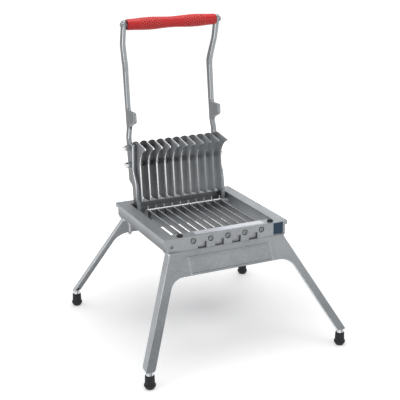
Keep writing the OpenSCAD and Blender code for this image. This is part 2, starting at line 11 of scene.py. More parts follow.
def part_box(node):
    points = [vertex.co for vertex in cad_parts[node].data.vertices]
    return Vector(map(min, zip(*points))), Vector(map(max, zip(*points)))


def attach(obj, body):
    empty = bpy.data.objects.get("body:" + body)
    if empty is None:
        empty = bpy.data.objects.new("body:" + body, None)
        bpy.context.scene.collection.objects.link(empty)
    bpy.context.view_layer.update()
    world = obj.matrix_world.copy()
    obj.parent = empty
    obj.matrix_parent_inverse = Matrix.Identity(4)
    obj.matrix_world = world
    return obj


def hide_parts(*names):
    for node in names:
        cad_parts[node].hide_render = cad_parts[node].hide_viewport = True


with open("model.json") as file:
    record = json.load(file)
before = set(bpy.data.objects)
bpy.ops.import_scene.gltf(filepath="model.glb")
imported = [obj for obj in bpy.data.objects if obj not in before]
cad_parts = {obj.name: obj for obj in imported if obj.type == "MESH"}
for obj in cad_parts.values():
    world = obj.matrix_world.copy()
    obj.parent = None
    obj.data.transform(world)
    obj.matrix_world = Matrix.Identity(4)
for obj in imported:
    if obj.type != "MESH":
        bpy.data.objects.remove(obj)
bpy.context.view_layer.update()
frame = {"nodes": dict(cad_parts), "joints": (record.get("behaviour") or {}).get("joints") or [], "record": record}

mm = 0.001
scene = bpy.context.scene
scene.view_settings.view_transform = "Standard"
print("frame loaded:", len(frame["nodes"]), "nodes")


# camera at the photograph's angle, for a 400 x 400 frame
cameraSet = {
    "place": (-1.09525, -2.30303, 1.20274),
    "right": (0.90289, -0.42983, -0.0059),
    "up": (0.13748, 0.27572, 0.95136),
    "ahead": (0.40729, 0.85979, -0.30803),
    "focalPixels": 960.58,
    "framePixels": 400,
    "sensor": 36.0,
    "clipEnd": 50,
}


def makeCamera(c):
    data = bpy.data.cameras.new("photoCamera")
    data.sensor_fit = "HORIZONTAL"
    data.sensor_width = c["sensor"]
    data.lens = c["focalPixels"] / c["framePixels"] * c["sensor"]
    data.clip_end = c["clipEnd"]
    camera = bpy.data.objects.new("photoCamera", data)
    scene.collection.objects.link(camera)
    turn = Matrix((c["right"], c["up"], [-v for v in c["ahead"]])).transposed().to_4x4()
    camera.matrix_world = Matrix.Translation(c["place"]) @ turn
    scene.camera = camera


makeCamera(cameraSet)
print("camera placed")


# node tools for the materials
def addNode(tree, kind, place=(0, 0), **values):
    made = tree.nodes.new(kind)
    made.location = place
    for key, value in values.items():
        if key in made.inputs:
            made.inputs[key].default_value = value
        else:
            setattr(made, key, value)
    return made


# a plain value is set on the socket, another node's output is linked to it
def feed(tree, socket, value):
    if isinstance(value, (int, float, tuple)):
        socket.default_value = value
    else:
        tree.links.new(value, socket)


def startGroup(name, inputs, outputs):
    group = bpy.data.node_groups.new(name, "ShaderNodeTree")
    for label, default in inputs.items():
        kind = "NodeSocketVector" if isinstance(default, tuple) else "NodeSocketFloat"
        socket = group.interface.new_socket(label, in_out="INPUT", socket_type=kind)
        socket.default_value = default
    for label in outputs:
        group.interface.new_socket(label, in_out="OUTPUT", socket_type="NodeSocketFloat")
    enter = addNode(group, "NodeGroupInput", (-900, 0))
    leave = addNode(group, "NodeGroupOutput", (900, 0))
    return group, enter, leave


def mathNode(tree, operation, first, second, place, third=None):
    made = addNode(tree, "ShaderNodeMath", place, operation=operation)
    for socket, value in zip(made.inputs, (first, second, third)):
        if value is not None:
            feed(tree, socket, value)
    return made.outputs[0]


def spread(tree, value, low, high, place):
    made = addNode(tree, "ShaderNodeMapRange", place, clamp=True)
    feed(tree, made.inputs["Value"], value)
    feed(tree, made.inputs["To Min"], low)
    feed(tree, made.inputs["To Max"], high)
    return made


# how far a texture lies from its middle value, times a strength
def offMiddle(tree, texture, strength, place):
    away = mathNode(tree, "SUBTRACT", texture.outputs["Fac"], 0.5, place)
    return mathNode(tree, "MULTIPLY", away, strength, (place[0] + 200, place[1]))


# sand-cast skin: broad clouding, small stains and a fine grain
castSkinSet = {
    "cloud": 16.0, "stain": 130.0, "grain": 950.0,
    "toneGain": 4.0, "roughSwing": 0.25, "stainHeight": 0.6,
}


def makeCastSkin(s):
    group, enter, leave = startGroup(
        "castSkin", {"Clouding": 0.08, "Grain": 0.06, "Roughness": 0.5}, ["Tone", "Roughness", "Height"])
    where = addNode(group, "ShaderNodeTexCoord", (-900, -300)).outputs["Object"]
    noise = "ShaderNodeTexNoise"
    cloud = addNode(group, noise, (-600, 300), Scale=s["cloud"], Detail=5.0, Roughness=0.6)
    stain = addNode(group, noise, (-600, 0), Scale=s["stain"], Detail=4.0, Roughness=0.65)
    grain = addNode(group, noise, (-600, -300), Scale=s["grain"], Detail=2.0, Roughness=0.6)
    for texture in (cloud, stain, grain):
        group.links.new(where, texture.inputs["Vector"])
    cloudPart = offMiddle(group, cloud, enter.outputs["Clouding"], (-400, 300))
    stainPart = offMiddle(group, stain, enter.outputs["Grain"], (-400, 100))
    both = mathNode(group, "ADD", cloudPart, stainPart, (0, 200))
    tone = mathNode(group, "MULTIPLY_ADD", both, s["toneGain"], (200, 200), 1.0)
    group.links.new(tone, leave.inputs["Tone"])
    shift = offMiddle(group, stain, s["roughSwing"], (-400, -100))
    rough = mathNode(group, "ADD", shift, enter.outputs["Roughness"], (200, -100))
    group.links.new(rough, leave.inputs["Roughness"])
    coarse = mathNode(group, "MULTIPLY", stain.outputs["Fac"], s["stainHeight"], (0, -300))
    height = mathNode(group, "ADD", coarse, grain.outputs["Fac"], (200, -300))
    group.links.new(height, leave.inputs["Height"])
    return group


# drawn or ground metal: fine lines along one axis
groundSet = {"lines": 900.0, "smudge": 40.0, "toneGain": 3.0, "roughSwing": 0.3}


def makeGroundLines(s):
    group, enter, leave = startGroup(
        "groundLines", {"Stretch": (1.0, 1.0, 1.0), "Depth": 0.1, "Roughness": 0.3},
        ["Tone", "Roughness", "Height"])
    where = addNode(group, "ShaderNodeTexCoord", (-900, -300)).outputs["Object"]
    scaled = addNode(group, "ShaderNodeVectorMath", (-700, -200), operation="MULTIPLY")
    group.links.new(where, scaled.inputs[0])
    group.links.new(enter.outputs["Stretch"], scaled.inputs[1])
    noise = "ShaderNodeTexNoise"
    lines = addNode(group, noise, (-500, 0), Scale=s["lines"], Detail=3.0, Roughness=0.7)
    smudge = addNode(group, noise, (-500, 300), Scale=s["smudge"], Detail=4.0, Roughness=0.6)
    group.links.new(scaled.outputs[0], lines.inputs["Vector"])
    group.links.new(where, smudge.inputs["Vector"])
    swing = offMiddle(group, lines, enter.outputs["Depth"], (-300, 0))
    tone = mathNode(group, "MULTIPLY_ADD", swing, s["toneGain"], (200, 200), 1.0)
    group.links.new(tone, leave.inputs["Tone"])
    shift = offMiddle(group, smudge, s["roughSwing"], (-300, 300))
    rough = mathNode(group, "ADD", shift, enter.outputs["Roughness"], (200, 0))
    group.links.new(rough, leave.inputs["Roughness"])
    group.links.new(lines.outputs["Fac"], leave.inputs["Height"])
    return group


# painted light and shade: a slow change of tone along one direction and from left to right, with a limit and a
# crown of painted shade
paintedLightSet = {"across": (1.0, 0.0, 0.0), "leftEnd": -0.095, "rightEnd": 0.085}


def makePaintedLightTone(s):
    group, enter, leave = startGroup(
        "slowTone",
        {"Along": (0.0, 0.0, 1.0), "From": 0.1, "To": 0.3, "Low": 1.0, "High": 1.0, "Left": 1.0, "Right": 1.0,
         "Most": 2.0, "Upward": (0.0, 0.5, 0.87), "Crown From": 0.512, "Crown To": 0.536, "Crown": 1.0},
        ["Tone"])
    given = enter.outputs
    where = addNode(group, "ShaderNodeTexCoord", (-900, -300)).outputs["Object"]

    def toneAlong(way, start, end, low, high, row):
        reach = addNode(group, "ShaderNodeVectorMath", (-700, row), operation="DOT_PRODUCT")
        feed(group, reach.inputs[0], where)
        feed(group, reach.inputs[1], way)
        made = spread(group, reach.outputs["Value"], low, high, (-300, row))
        feed(group, made.inputs["From Min"], start)
        feed(group, made.inputs["From Max"], end)
        return made.outputs[0]

    rise = toneAlong(given["Along"], given["From"], given["To"], given["Low"], given["High"], 200)
    across = toneAlong(s["across"], s["leftEnd"], s["rightEnd"], given["Left"], given["Right"], -200)
    crown = toneAlong(given["Upward"], given["Crown From"], given["Crown To"], 1.0, given["Crown"], -600)
    both = mathNode(group, "MULTIPLY", rise, across, (100, 0))
    held = mathNode(group, "MINIMUM", both, given["Most"], (250, 0))
    tone = mathNode(group, "MULTIPLY", held, crown, (400, 0))
    group.links.new(tone, leave.inputs["Tone"])
    return group


castSkin = makeCastSkin(castSkinSet)
groundLines = makeGroundLines(groundSet)
slowTone = makePaintedLightTone(paintedLightSet)


# one surface: a group shapes colour, roughness and bump; plain numbers sit on the shader
def makeSurface(name, look):
    surface = bpy.data.materials.new(name)
    surface.use_nodes = True
    tree = surface.node_tree
    shader = tree.nodes["Principled BSDF"]
    shader.inputs["Metallic"].default_value = look.get("metallic", 0.0)
    shader.inputs["Specular IOR Level"].default_value = look.get("specular", 0.5)
    skin = addNode(tree, "ShaderNodeGroup", (-600, 0), node_tree=look["group"])
    for label, value in look["values"].items():
        skin.inputs[label].default_value = value
    colour = addNode(tree, "ShaderNodeMix", (-300, 200), data_type="RGBA", blend_type="MULTIPLY", Factor=1.0)
    colour.inputs["A"].default_value = (*look["colour"], 1.0)
    tone = skin.outputs["Tone"]
    # painted light and shade: the slow tone multiplies the colour
    if "slow" in look:
        slow = addNode(tree, "ShaderNodeGroup", (-600, 400), node_tree=slowTone)
        for label, value in look["slow"].items():
            slow.inputs[label].default_value = value
        tone = mathNode(tree, "MULTIPLY", tone, slow.outputs["Tone"], (-450, 300))
    tree.links.new(tone, colour.inputs["B"])
    tree.links.new(colour.outputs["Result"], shader.inputs["Base Color"])
    tree.links.new(skin.outputs["Roughness"], shader.inputs["Roughness"])
    strength, depth = look["bump"]
    bump = addNode(tree, "ShaderNodeBump", (-300, -300), Strength=strength, Distance=depth)
    tree.links.new(skin.outputs["Height"], bump.inputs["Height"])
    tree.links.new(bump.outputs["Normal"], shader.inputs["Normal"])
    return surface


# finishes: colour, gloss, bump as strength and depth, and where needed painted light and shade as a slow change of
# tone
looks = {
    "castAluminium": {
        "group": castSkin, "colour": (0.35, 0.37, 0.385), "metallic": 0.6, "bump": (0.4, 0.0004),
        "values": {"Clouding": 0.09, "Grain": 0.10, "Roughness": 0.48},
    },
    # painted shade: the leg castings darken towards the floor
    "castLeg": {
        "group": castSkin, "colour": (0.36, 0.38, 0.395), "metallic": 0.6, "bump": (0.4, 0.0004),
        "values": {"Clouding": 0.11, "Grain": 0.12, "Roughness": 0.46},
        "slow": {"From": 0.1, "To": 0.28, "Low": 0.66, "High": 1.0},
    },
    # painted light: a paler copy of the cast aluminium for the legs' flanks
    "castPale": {
        "group": castSkin, "colour": (0.46, 0.48, 0.50), "metallic": 0.6, "bump": (0.4, 0.0004),
        "values": {"Clouding": 0.11, "Grain": 0.12, "Roughness": 0.46},
    },
    # painted shade: the tray's outer sides darken towards their foot
    "castSide": {
        "group": castSkin, "colour": (0.35, 0.37, 0.385), "metallic": 0.6, "bump": (0.4, 0.0004),
        "values": {"Clouding": 0.11, "Grain": 0.10, "Roughness": 0.48},
        "slow": {"From": 0.302, "To": 0.330, "Low": 0.55, "High": 1.1},
    },
    # painted highlight: a bright copy of the cast aluminium for narrow roundings
    "castGleam": {
        "group": castSkin, "colour": (0.78, 0.80, 0.82), "metallic": 0.7, "bump": (0.2, 0.0003),
        "values": {"Clouding": 0.10, "Grain": 0.10, "Roughness": 0.32},
    },
    "pocketFloor": {
        "group": castSkin, "colour": (0.46, 0.47, 0.49), "metallic": 0.5, "bump": (0.25, 0.0003),
        "values": {"Clouding": 0.08, "Grain": 0.06, "Roughness": 0.5},
    },
    # painted shade on the pocket sides
    "pocketSide": {
        "group": castSkin, "colour": (0.16, 0.17, 0.178), "metallic": 0.5, "bump": (0.3, 0.0003),
        "values": {"Clouding": 0.08, "Grain": 0.06, "Roughness": 0.5},
    },
    # painted shade: a dark copy of the cast aluminium
    "castShade": {
        "group": castSkin, "colour": (0.10, 0.105, 0.11), "metallic": 0.5, "bump": (0.4, 0.0004),
        "values": {"Clouding": 0.10, "Grain": 0.08, "Roughness": 0.55},
    },
    # painted shade on the tray's rear wall under the pushers
    "rearWall": {
        "group": castSkin, "colour": (0.27, 0.28, 0.29), "metallic": 0.4, "bump": (0.4, 0.0004),
        "values": {"Clouding": 0.22, "Grain": 0.12, "Roughness": 0.5},
    },
    # painted light: the anchor bar is paler to lift the shade it stands in
    "anchorCasting": {
        "group": castSkin, "colour": (0.48, 0.50, 0.52), "metallic": 0.3, "bump": (0.4, 0.0004),
        "values": {"Clouding": 0.16, "Grain": 0.12, "Roughness": 0.5},
    },
    "armAluminium": {
        "group": castSkin, "colour": (0.31, 0.328, 0.342), "metallic": 0.75, "bump": (0.25, 0.0003),
        "values": {"Clouding": 0.08, "Grain": 0.06, "Roughness": 0.34},
    },
    # painted shade: a dark copy of the arm's aluminium for its flat sides
    "armSide": {
        "group": castSkin, "colour": (0.16, 0.168, 0.176), "metallic": 0.7, "bump": (0.3, 0.0003),
        "values": {"Clouding": 0.15, "Grain": 0.14, "Roughness": 0.42},
    },
    # painted highlight on the arms' roundings
    "armGleam": {
        "group": castSkin, "colour": (0.82, 0.84, 0.86), "metallic": 0.8, "bump": (0.1, 0.0002),
        "values": {"Clouding": 0.03, "Grain": 0.02, "Roughness": 0.24},
    },
    # painted shade and light: the plates darken towards the back, to the left and at the crown
    "pusherPlate": {
        "group": castSkin, "colour": (0.33, 0.348, 0.363), "metallic": 0.35, "specular": 0.15,
        "bump": (0.3, 0.0003),
        "values": {"Clouding": 0.12, "Grain": 0.06, "Roughness": 0.5},
        "slow": {
            "Along": (0.0, 1.0, 0.0), "From": 0.085, "To": 0.15, "Low": 1.8, "High": 0.32,
            "Left": 0.72, "Right": 3.6, "Most": 1.4, "Crown": 0.35,
        },
    },
    "pusherOuter": {
        "group": castSkin, "colour": (0.21, 0.222, 0.232), "metallic": 0.6, "bump": (0.3, 0.0003),
        "values": {"Clouding": 0.14, "Grain": 0.08, "Roughness": 0.44},
    },
    # painted shade on the pushers' crowns
    "pusherCap": {
        "group": castSkin, "colour": (0.075, 0.079, 0.083), "metallic": 0.2, "specular": 0.15,
        "bump": (0.2, 0.0003),
        "values": {"Clouding": 0.12, "Grain": 0.06, "Roughness": 0.5},
    },
    # painted highlight on the pushers' rounded edges, brighter to the left
    "pusherEdge": {
        "group": groundLines, "colour": (0.78, 0.79, 0.80), "metallic": 0.85, "bump": (0.1, 0.0002),
        "values": {"Stretch": (1.0, 0.2, 0.2), "Depth": 0.10, "Roughness": 0.28},
        "slow": {"Left": 1.25, "Right": 0.30},
    },
    # painted shade: the blades darken towards the front
    "bladeSteel": {
        "group": groundLines, "colour": (0.30, 0.312, 0.323), "metallic": 0.9, "bump": (0.15, 0.0002),
        "values": {"Stretch": (1.0, 0.05, 1.0), "Depth": 0.16, "Roughness": 0.38},
        "slow": {"Along": (0.0, 1.0, 0.0), "From": -0.16, "To": 0.08, "Low": 0.42, "High": 1.0},
    },
    # painted highlight on the blades' upper edges and tabs, weaker towards the front
    "bladeEdge": {
        "group": groundLines, "colour": (0.60, 0.615, 0.63), "metallic": 0.9, "bump": (0.05, 0.0001),
        "values": {"Stretch": (1.0, 0.02, 1.0), "Depth": 0.06, "Roughness": 0.3},
        "slow": {"Along": (0.0, 1.0, 0.0), "From": -0.16, "To": 0.08, "Low": 0.5, "High": 1.0},
    },
    "screwSteel": {
        "group": groundLines, "colour": (0.27, 0.275, 0.28), "metallic": 0.8, "bump": (0.1, 0.0002),
        "values": {"Stretch": (1.0, 1.0, 1.0), "Depth": 0.14, "Roughness": 0.42},
    },
    "darkSteel": {
        "group": groundLines, "colour": (0.13, 0.135, 0.14), "metallic": 0.8, "bump": (0.1, 0.0002),
        "values": {"Stretch": (1.0, 1.0, 1.0), "Depth": 0.14, "Roughness": 0.42},
    },
    "platedSteel": {
        "group": groundLines, "colour": (0.42, 0.42, 0.43), "metallic": 0.9, "bump": (0.1, 0.0002),
        "values": {"Stretch": (1.0, 1.0, 1.0), "Depth": 0.12, "Roughness": 0.36},
    },
    "brightSteel": {
        "group": groundLines, "colour": (0.80, 0.81, 0.82), "metallic": 1.0, "bump": (0.06, 0.0002),
        "values": {"Stretch": (0.05, 1.0, 1.0), "Depth": 0.08, "Roughness": 0.18},
    },
    # painted light: the spacer tubes are pale to lift the shade between the plates
    "spacerTube": {
        "group": groundLines, "colour": (0.80, 0.82, 0.84), "metallic": 0.0, "bump": (0.1, 0.0002),
        "values": {"Stretch": (1.0, 0.1, 0.1), "Depth": 0.12, "Roughness": 0.36},
    },
    "bearingBronze": {
        "group": groundLines, "colour": (0.46, 0.32, 0.16), "metallic": 0.9, "bump": (0.1, 0.0002),
        "values": {"Stretch": (1.0, 1.0, 1.0), "Depth": 0.14, "Roughness": 0.38},
    },
    "blackRubber": {
        "group": castSkin, "colour": (0.022, 0.023, 0.025), "specular": 0.35, "bump": (0.2, 0.0002),
        "values": {"Clouding": 0.16, "Grain": 0.08, "Roughness": 0.62},
    },
    "redVinyl": {
        "group": castSkin, "colour": (0.67, 0.024, 0.026), "specular": 0.4, "bump": (0.12, 0.0002),
        "values": {"Clouding": 0.05, "Grain": 0.04, "Roughness": 0.4},
    },
    # painted light on the land between the grip's dimples
    "vinylLand": {
        "group": castSkin, "colour": (0.79, 0.046, 0.046), "specular": 0.4, "bump": (0.12, 0.0002),
        "values": {"Clouding": 0.05, "Grain": 0.04, "Roughness": 0.38},
    },
    # painted shade in the grip's dimples
    "vinylDimple": {
        "group": castSkin, "colour": (0.29, 0.010, 0.012), "specular": 0.3, "bump": (0.1, 0.0002),
        "values": {"Clouding": 0.05, "Grain": 0.04, "Roughness": 0.4},
    },
    "darkRing": {
        "group": castSkin, "colour": (0.20, 0.016, 0.018), "specular": 0.4, "bump": (0.15, 0.0002),
        "values": {"Clouding": 0.1, "Grain": 0.06, "Roughness": 0.5},
    },
    "blueLabel": {
        "group": castSkin, "colour": (0.012, 0.042, 0.085), "specular": 0.35, "bump": (0.05, 0.0001),
        "values": {"Clouding": 0.08, "Grain": 0.03, "Roughness": 0.4},
    },
    "paleStrip": {
        "group": castSkin, "colour": (0.62, 0.64, 0.70), "specular": 0.5, "bump": (0.05, 0.0001),
        "values": {"Clouding": 0.05, "Grain": 0.02, "Roughness": 0.3},
    },
}
surfaces = {name: makeSurface(name, look) for name, look in looks.items()}
print("materials made:", len(surfaces))

smoothing = {"sharp": 40, "weight": 80}


# a finished mesh becomes a piece that rides on a body
def finishPiece(bm, name, body, finishes, sharp=smoothing["sharp"]):
    mesh = bpy.data.meshes.new(name)
    bm.to_mesh(mesh)
    bm.free()
    for finish in finishes:
        mesh.materials.append(surfaces[finish])
    for face in mesh.polygons:
        face.use_smooth = True
    mesh.set_sharp_from_angle(angle=math.radians(sharp))
    piece = bpy.data.objects.new(name, mesh)
    scene.collection.objects.link(piece)
    weighted = piece.modifiers.new("evenShading", "WEIGHTED_NORMAL")
    weighted.keep_sharp = True
    weighted.weight = smoothing["weight"]
    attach(piece, body)
    return piece


# edges sharper than an angle are rounded, and those near a fault of an earlier try are spared
roundingSet = {
    "weld": 0.002 * mm, "flat": 0.5, "sharp": 35,
    "stray": 0.75, "foldAngle": 2.6, "foldLength": 0.1,
    "tries": 7, "spare": 1.2, "spareStep": 0.5, "farSpot": (0, 0, 100),
}


# merged copy of a node's mesh, with its flat faces whole again
def mergedNode(node, r=roundingSet):
    bm = bmesh.new()
    bm.from_mesh(frame["nodes"][node].data)
    bmesh.ops.remove_doubles(bm, verts=bm.verts, dist=r["weld"])
    bmesh.ops.dissolve_limit(
        bm, angle_limit=math.radians(r["flat"]), use_dissolve_boundaries=False,
        verts=bm.verts, edges=bm.edges)
    bm.normal_update()
    return bm


def middle(edge):
    return (edge.verts[0].co + edge.verts[1].co) / 2


def faceAngle(edge):
    return edge.calc_face_angle(0.0) if len(edge.link_faces) == 2 else 0.0


# places where a rounding left the old surface or folded over itself
def roundingFaults(bm, skin, width, r=roundingSet):
    faults = []
    for vert in bm.verts:
        spot, normal, index, away = skin.find_nearest(vert.co)
        if away > r["stray"] * width:
            faults.append(spot)
    for edge in bm.edges:
        if faceAngle(edge) > r["foldAngle"] and edge.calc_length() > r["foldLength"] * width:
            faults.append(middle(edge))
    return faults


# rounds the sharp edges, and leaves out those next to a fault
def roundEdges(bm, width, segments, wanted=None, sharp=roundingSet["sharp"], r=roundingSet):
    skin = BVHTree.FromBMesh(bm)
    spared = [Vector(r["farSpot"])]  # a far spot, so that the search always finds one
    for attempt in range(r["tries"]):
        near = KDTree(len(spared))
        for index, spot in enumerate(spared):
            near.insert(spot, index)
        near.balance()
        reach = width * (r["spare"] + r["spareStep"] * attempt)
        trial = bm.copy()
        edges = [
            e for e in trial.edges
            if faceAngle(e) > math.radians(sharp) and (wanted is None or wanted(e))
            and min(near.find(p)[2] for p in (e.verts[0].co, e.verts[1].co, middle(e))) > reach]
        if edges:
            bmesh.ops.bevel(
                trial, geom=edges, offset=width, offset_type="OFFSET", segments=segments, profile=0.5,
                affect="EDGES", clamp_overlap=False, material=-1, loop_slide=True)
            bmesh.ops.remove_doubles(trial, verts=trial.verts, dist=r["weld"])
            trial.normal_update()
        faults = roundingFaults(trial, skin, width)
        if not faults or attempt == r["tries"] - 1:
            break
        spared += faults
        trial.free()
    bm.free()
    return trial


bodyOf = {node: body for body, nodes in frame["record"]["behaviour"]["bodies"].items() for node in nodes}


# a pass is a width in mm, its segments, and where needed a filter and an angle;
# choose names a face's finish, or nothing for the first one
def dressNode(node, name, finishes, passes, choose=None):
    bm = mergedNode(node)
    for width, *others in passes:
        bm = roundEdges(bm, width * mm, *others)
    for face in bm.faces:
        finish = choose(face) if choose else None
        if finish:
            face.material_index = finishes.index(finish)
    piece = finishPiece(bm, name, bodyOf[node], finishes)
    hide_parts(node)


# tray casting: sizes in mm, and limits for the way a face looks
trayLow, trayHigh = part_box("tray_frame")
trayLook = {
    "round": (1.0, 3), "fineRound": (0.35, 2),
    "pocketCentres": (-76.2, -25.4, 25.4, 76.2), "pocketHalf": 13.6, "pocketLow": 302.0, "pocketHigh": 321.5,
    "pocketDepth": 8.2, "pocketSkim": 0.5, "floorFrom": 6.6, "floorFacing": -0.9, "landReach": 0.1,
    "lipFrom": 140.0, "lipHigh": 1.5, "lipFacing": -0.7, "sideFrom": 172.0, "sideFacing": 0.9,
}


def inPocket(spot, t=trayLook):
    return (
        spot.y - trayLow.y < t["pocketDepth"] * mm and t["pocketLow"] * mm < spot.z < t["pocketHigh"] * mm
        and any(abs(spot.x - x * mm) < t["pocketHalf"] * mm for x in t["pocketCentres"]))


# the thin land under the pockets stays sharp
def offLand(edge, t=trayLook):
    spot = middle(edge)
    atFoot = abs(spot.z - t["pocketLow"] * mm) < t["landReach"] * mm
    return not (atFoot and spot.y - trayLow.y < t["landReach"] * mm)


# the pockets get the fine rounding alone
def offPockets(edge):
    return offLand(edge) and not inPocket(middle(edge))


# lighter pocket floors, painted shade on the pocket sides and the rear wall, and painted shade on the outer sides
# towards their foot
def trayFinish(face, t=trayLook):
    spot = face.calc_center_median()
    deep = spot.y - trayLow.y
    if inPocket(spot) and deep > t["pocketSkim"] * mm:
        onFloor = deep > t["floorFrom"] * mm and face.normal.y < t["floorFacing"]
        return "pocketFloor" if onFloor else "pocketSide"
    atRear = spot.y > t["lipFrom"] * mm and spot.z < trayHigh.z - t["lipHigh"] * mm
    if atRear and face.normal.y < t["lipFacing"]:
        return "rearWall"
    if abs(face.normal.x) > t["sideFacing"] and abs(spot.x) > t["sideFrom"] * mm:
        return "castSide"


dressNode(
    "tray_frame", "trayCasting", ["castAluminium", "pocketFloor", "rearWall", "pocketSide", "castSide"],
    [(*trayLook["round"], offPockets), (*trayLook["fineRound"], offLand)], trayFinish)


# leg castings: painted highlight on the long narrow roundings, painted light on the flanks, painted shade on the
# top of the panel's border
legLook = {
    "gleamWidth": 1.3, "gleamFront": -0.15, "gleamSide": 0.15, "flank": 0.8,
    "ribHalf": 126, "ribLow": 225, "ribHigh": 292, "ribWidth": 4, "ribUp": 0.75,
}
legPasses = {
    "front_leg_frame": ("frontLegs", [(1.4, 3), (0.5, 2)]),
    "rear_leg_frame": ("rearLegs", [(1.2, 3), (0.5, 2)]),
}


def legFinish(face, g=legLook):
    spot = face.calc_center_median()
    width = 2 * face.calc_area() / face.calc_perimeter()
    onPanel = abs(spot.x) < g["ribHalf"] * mm and g["ribLow"] * mm < spot.z < g["ribHigh"] * mm and spot.y < 0
    if onPanel and width < g["ribWidth"] * mm and face.normal.z > g["ribUp"]:
        return "castShade"
    sideways = abs(face.normal.x)
    if width < g["gleamWidth"] * mm and face.normal.y < g["gleamFront"] and sideways > g["gleamSide"]:
        return "castGleam"
    if sideways > g["flank"]:
        return "castPale"


for node, (name, passes) in legPasses.items():
    dressNode(node, name, ["castLeg", "castGleam", "castShade", "castPale"], passes, legFinish)


# blade anchor: painted shade on its shelf under the rod, and the bar behind it painted lighter to lift the shade
# it stands in
rodLow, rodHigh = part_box("blade_rod")
anchorPasses = [(0.8, 2), (0.2, 1)]


def anchorFinish(face):
    if face.calc_center_median().y < rodHigh.y:
        return "castShade"


dressNode("blade_anchor", "bladeAnchor", ["anchorCasting", "castShade"], anchorPasses, anchorFinish)
print("castings dressed")


# arms: a thick rounded edge along the outline, small ones round the bores and bosses
armLook = {
    "round": (3.6, 5), "roundAngle": 50, "edge": (0.6, 2),
    "rodReach": 11 * mm, "barReach": 6.5 * mm, "eyeReach": 12 * mm,
    "sideFrom": 0.96, "gleamFrom": 0.6, "lugReach": 36 * mm,
}
hingeSpot = Vector(frame["joints"][0]["pos_m"])


def axisOf(node):
    low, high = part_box(node)
    return (low + high) / 2


tieAxes = [axisOf("upper_tie_rod"), axisOf("lower_tie_rod")]
armBores = [(axis, armLook["rodReach"]) for axis in tieAxes]
armBores += [(axisOf("handle_bar"), armLook["barReach"]), (hingeSpot, armLook["eyeReach"])]


def clearOfBores(edge, bores):
    spot = middle(edge)
    return all(math.hypot(spot.y - axis.y, spot.z - axis.z) > reach for axis, reach in bores)


def onArmOutline(edge):
    return clearOfBores(edge, armBores)


# the lever leans back at rest, and a lug sits as far up it as a bumper lies ahead of the hinge
leverLean = {"upright": 0.9936, "back": 0.1132}
leverUp = Vector((0, leverLean["back"], leverLean["upright"]))
leverBack = Vector((0, leverLean["upright"], -leverLean["back"]))
lugHeight = hingeSpot.y - axisOf("bumper_left").y


# painted shade on the arms' flat sides, painted highlight on the roundings away from the lug
def armFinish(face):
    sideways = abs(face.normal.x)
    if sideways > armLook["sideFrom"]:
        return "armSide"
    height = (face.calc_center_median() - hingeSpot).dot(leverUp)
    onLug = abs(height - lugHeight) < armLook["lugReach"]
    if sideways > armLook["gleamFrom"] and not onLug:
        return "armGleam"


for side in ("left", "right"):
    dressNode(
        "arm_" + side, "arm" + side.capitalize(), ["armAluminium", "armSide", "armGleam"],
        [(*armLook["round"], onArmOutline, armLook["roundAngle"]), armLook["edge"]], armFinish)
print("arms dressed")


# pusher plates: faces with painted shade that deepens towards the back, to the left and at the crown, a painted
# highlight on the rounded edges, and painted shade on the crowns
pusherLook = {
    "round": (1.5, 3), "roundAngle": 50, "boreReach": 7 * mm,
    "faceLimit": 0.55, "capFrom": -26 * mm, "capUp": 0.2,
}
pusherNodes = sorted(n for n in frame["nodes"] if n.startswith("pusher_"))
pusherBores = [(axis, pusherLook["boreReach"]) for axis in tieAxes]


def onPlateOutline(edge):
    return clearOfBores(edge, pusherBores)


def pusherFinish(face):
    if abs(face.normal.x) < pusherLook["faceLimit"]:
        atRear = (face.calc_center_median() - hingeSpot).dot(leverBack) > pusherLook["capFrom"]
        return "pusherCap" if atRear and face.normal.z > pusherLook["capUp"] else "pusherEdge"


for node in pusherNodes:
    flat = "pusherOuter" if node == pusherNodes[0] else "pusherPlate"
    dressNode(
        node, "pusherPlate" + node[-2:], [flat, "pusherEdge", "pusherCap"],
        [(*pusherLook["round"], onPlateOutline, pusherLook["roundAngle"])], pusherFinish)
print("pushers dressed:", len(pusherNodes))


# rods, nuts, screws and other small metal pieces: name, finish and rounding in mm
smallMetal = {
    "blade_rod": ("bladeRod", "brightSteel", 0.5), "upper_tie_rod": ("tieRodUpper", "brightSteel", 0.5),
    "lower_tie_rod": ("tieRodLower", "brightSteel", 0.5), "cap_nuts": ("capNuts", "brightSteel", 0.5),
    "upper_spacers": ("spacersUpper", "spacerTube", 0.4),
    "lower_spacers": ("spacersLower", "spacerTube", 0.4),
    "leg_bolts": ("legBolts", "darkSteel", 0.5), "foot_studs": ("footStuds", "platedSteel", 0.5),
    "anchor_screws": ("anchorScrews", "platedSteel", 0.5), "yoke_pins": ("yokePins", "platedSteel", 0.3),
    "tension_screws": ("tensionScrews", "screwSteel", 0.4), "pin_screws": ("pinScrews", "platedSteel", 0.4),
    "hinge_pin_left": ("hingePinLeft", "platedSteel", 0.6),
    "hinge_pin_right": ("hingePinRight", "platedSteel", 0.6),
    "hinge_bush_left": ("hingeBushLeft", "bearingBronze", 0.15),
    "hinge_bush_right": ("hingeBushRight", "bearingBronze", 0.15),
    "handle_bar": ("handleBar", "platedSteel", 0.5), "handle_screws": ("handleScrews", "screwSteel", 0.6),
    "grip_rings": ("gripRings", "darkRing", 0.6),
}
smallSegments = 2
# the blade yokes are coloured with painted shade
for node in sorted(frame["nodes"]):
    if node.startswith("blade_yoke_"):
        smallMetal[node] = ("bladeYoke" + node[-1], "castShade", 0.6)
for node, (name, finish, width) in smallMetal.items():
    dressNode(node, name, [finish], [(width, smallSegments)])
print("metal pieces dressed:", len(smallMetal))


